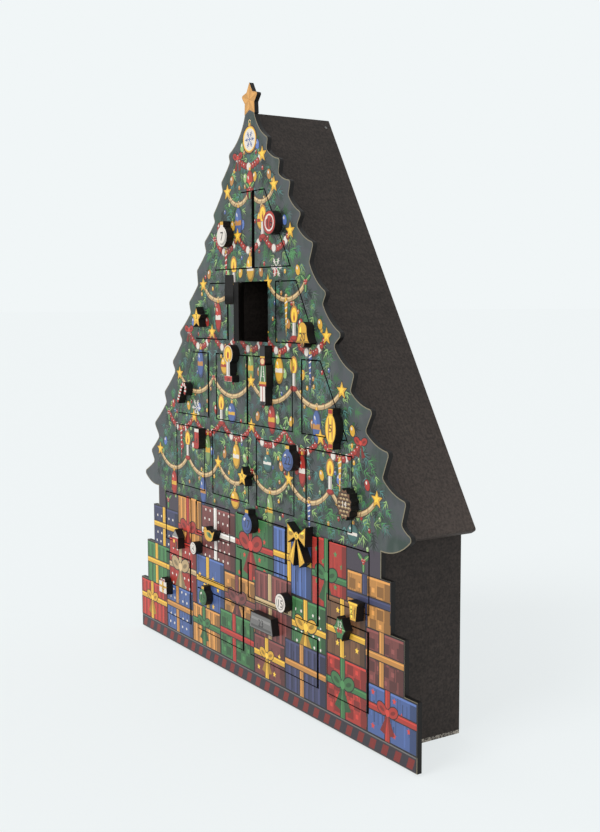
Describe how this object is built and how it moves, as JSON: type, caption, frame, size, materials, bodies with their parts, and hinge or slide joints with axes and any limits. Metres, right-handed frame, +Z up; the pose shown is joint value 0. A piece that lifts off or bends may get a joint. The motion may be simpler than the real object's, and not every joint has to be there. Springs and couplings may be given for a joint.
{
  "type": "advent calendar",
  "caption": "Wooden advent calendar shaped like a Christmas tree, with hinged doors, ornament knobs and a compartment behind each door.",
  "frame": {"origin": "middle of the base board's underside, where the calendar rests", "axes": "+Z up to the star, -Y out of the front with the doors, +X to the right seen from the front"},
  "size_m": [0.45, 0.113, 0.512],
  "materials": {
    "dark_wood": "matte",
    "bare_wood": "matte",
    "print_board": "matte",
    "red_paint": "satin",
    "gold_paint": "satin",
    "blue_paint": "satin",
    "white_paint": "satin",
    "green_paint": "satin",
    "brown_paint": "satin",
    "grey_paint": "satin",
    "steel": "satin"
  },
  "bodies": {
    "cabinet": {"front_board": "print_board", "right_roof": "dark_wood", "left_roof": "dark_wood", "right_wall": "dark_wood", "left_wall": "dark_wood", "base": "dark_wood", "back_panel": "dark_wood", "shelves": "dark_wood", "dividers": "dark_wood", "hinge_pins": "steel", "ridge_nail": "steel"},
    "door_01": {"door_01": "print_board", "knob_01_bauble": "white_paint"},
    "door_02": {"door_02": "print_board", "knob_02_disc": "red_paint"},
    "door_03": {"door_03": "print_board", "knob_03_star": "gold_paint"},
    "door_04": {"door_04": "print_board", "knob_04_drop": "brown_paint"},
    "door_05": {"door_05": "print_board", "knob_05_bell": "gold_paint"},
    "door_06": {"door_06": "print_board", "knob_06_cane": "red_paint"},
    "door_07": {"door_07": "print_board", "knob_07_candle": "white_paint"},
    "door_08": {"door_08": "print_board", "knob_08_soldier": "red_paint"},
    "door_09": {"door_09": "print_board", "knob_09_lantern": "gold_paint"},
    "door_10": {"door_10": "print_board", "knob_10_stocking": "red_paint"},
    "door_11": {"door_11": "print_board", "knob_11_star": "gold_paint"},
    "door_12": {"door_12": "print_board", "knob_12_bauble": "blue_paint"},
    "door_13": {"door_13": "print_board", "knob_13_pinecone": "brown_paint"},
    "door_14": {"door_14": "print_board", "knob_14_house": "brown_paint"},
    "door_15": {"door_15": "print_board", "knob_15_bird": "gold_paint"},
    "door_16": {"door_16": "print_board", "knob_16_bauble": "blue_paint"},
    "door_17": {"door_17": "print_board", "knob_17_bow": "gold_paint"},
    "door_18": {"door_18": "print_board", "knob_18_cup": "gold_paint"},
    "door_19": {"door_19": "print_board", "knob_19_parcel": "white_paint"},
    "door_20": {"door_20": "print_board", "knob_20_disc": "white_paint"},
    "door_21": {"door_21": "print_board", "knob_21_disc": "white_paint"},
    "door_22": {"door_22": "print_board", "knob_22_holly": "green_paint"},
    "door_23": {"door_23": "print_board", "knob_23_bauble": "green_paint"},
    "door_24": {"door_24": "print_board", "knob_24_plate": "grey_paint"}
  },
  "joints": [
    {"name": "door_01_hinge", "type": "hinge", "parent": "cabinet", "child": "door_01", "pos_m": [-0.00065, -0.0398, 0.39215], "axis": [0, 0, 1], "range_deg": [0, 80]},
    {"name": "door_02_hinge", "type": "hinge", "parent": "cabinet", "child": "door_02", "pos_m": [0.01055, -0.0398, 0.39215], "axis": [0, 0, -1], "range_deg": [0, 80]},
    {"name": "door_03_hinge", "type": "hinge", "parent": "cabinet", "child": "door_03", "pos_m": [-0.04385, -0.0398, 0.32432], "axis": [0, 0, 1], "range_deg": [0, 80]},
    {"name": "door_04_hinge", "type": "hinge", "parent": "cabinet", "child": "door_04", "pos_m": [-0.0196, -0.0398, 0.32432], "axis": [0, 0, -1], "range_deg": [-35, 45]},
    {"name": "door_05_hinge", "type": "hinge", "parent": "cabinet", "child": "door_05", "pos_m": [0.0443, -0.0398, 0.32432], "axis": [0, 0, -1], "range_deg": [0, 100]},
    {"name": "door_06_hinge", "type": "hinge", "parent": "cabinet", "child": "door_06", "pos_m": [-0.08075, -0.0398, 0.25802], "axis": [0, 0, 1], "range_deg": [0, 80]},
    {"name": "door_07_hinge", "type": "hinge", "parent": "cabinet", "child": "door_07", "pos_m": [-0.05695, -0.0398, 0.25802], "axis": [0, 0, -1], "range_deg": [0, 80]},
    {"name": "door_08_hinge", "type": "hinge", "parent": "cabinet", "child": "door_08", "pos_m": [-0.0016, -0.0398, 0.25802], "axis": [0, 0, -1], "range_deg": [0, 100]},
    {"name": "door_09_hinge", "type": "hinge", "parent": "cabinet", "child": "door_09", "pos_m": [0.08255, -0.0398, 0.25802], "axis": [0, 0, -1], "range_deg": [0, 100]},
    {"name": "door_10_hinge", "type": "hinge", "parent": "cabinet", "child": "door_10", "pos_m": [-0.1366, -0.0398, 0.18917], "axis": [0, 0, -1], "range_deg": [0, 100]},
    {"name": "door_11_hinge", "type": "hinge", "parent": "cabinet", "child": "door_11", "pos_m": [-0.0655, -0.0398, 0.18917], "axis": [0, 0, -1], "range_deg": [0, 100]},
    {"name": "door_12_hinge", "type": "hinge", "parent": "cabinet", "child": "door_12", "pos_m": [0.0119, -0.0398, 0.18917], "axis": [0, 0, -1], "range_deg": [0, 100]},
    {"name": "door_13_hinge", "type": "hinge", "parent": "cabinet", "child": "door_13", "pos_m": [0.0884, -0.0398, 0.18917], "axis": [0, 0, -1], "range_deg": [0, 100]},
    {"name": "door_14_hinge", "type": "hinge", "parent": "cabinet", "child": "door_14", "pos_m": [-0.1618, -0.0398, 0.12618], "axis": [0, 0, -1], "range_deg": [0, 100]},
    {"name": "door_15_hinge", "type": "hinge", "parent": "cabinet", "child": "door_15", "pos_m": [-0.09745, -0.0398, 0.13434], "axis": [0, 0, -1], "range_deg": [0, 100]},
    {"name": "door_16_hinge", "type": "hinge", "parent": "cabinet", "child": "door_16", "pos_m": [0.0493, -0.0398, 0.13434], "axis": [0, 0, 1], "range_deg": [0, 100]},
    {"name": "door_17_hinge", "type": "hinge", "parent": "cabinet", "child": "door_17", "pos_m": [0.0961, -0.0398, 0.11395], "axis": [0, 0, 1], "range_deg": [0, 80]},
    {"name": "door_18_hinge", "type": "hinge", "parent": "cabinet", "child": "door_18", "pos_m": [0.1199, -0.0398, 0.12618], "axis": [0, 0, -1], "range_deg": [0, 80]},
    {"name": "door_19_hinge", "type": "hinge", "parent": "cabinet", "child": "door_19", "pos_m": [-0.12035, -0.0398, 0.05912], "axis": [0, 0, 1], "range_deg": [0, 100]},
    {"name": "door_20_hinge", "type": "hinge", "parent": "cabinet", "child": "door_20", "pos_m": [-0.0245, -0.0398, 0.09355], "axis": [0, 0, 1], "range_deg": [0, 80]},
    {"name": "door_21_hinge", "type": "hinge", "parent": "cabinet", "child": "door_21", "pos_m": [-0.0034, -0.0398, 0.09355], "axis": [0, 0, -1], "range_deg": [0, 80]},
    {"name": "door_22_hinge", "type": "hinge", "parent": "cabinet", "child": "door_22", "pos_m": [0.1627, -0.0398, 0.05912], "axis": [0, 0, 1], "range_deg": [0, 100]},
    {"name": "door_23_hinge", "type": "hinge", "parent": "cabinet", "child": "door_23", "pos_m": [-0.0209, -0.0398, 0.0479], "axis": [0, 0, 1], "range_deg": [0, 100]},
    {"name": "door_24_hinge", "type": "hinge", "parent": "cabinet", "child": "door_24", "pos_m": [0.0961, -0.0398, 0.0479], "axis": [0, 0, 1], "range_deg": [0, 100]}
  ]
}
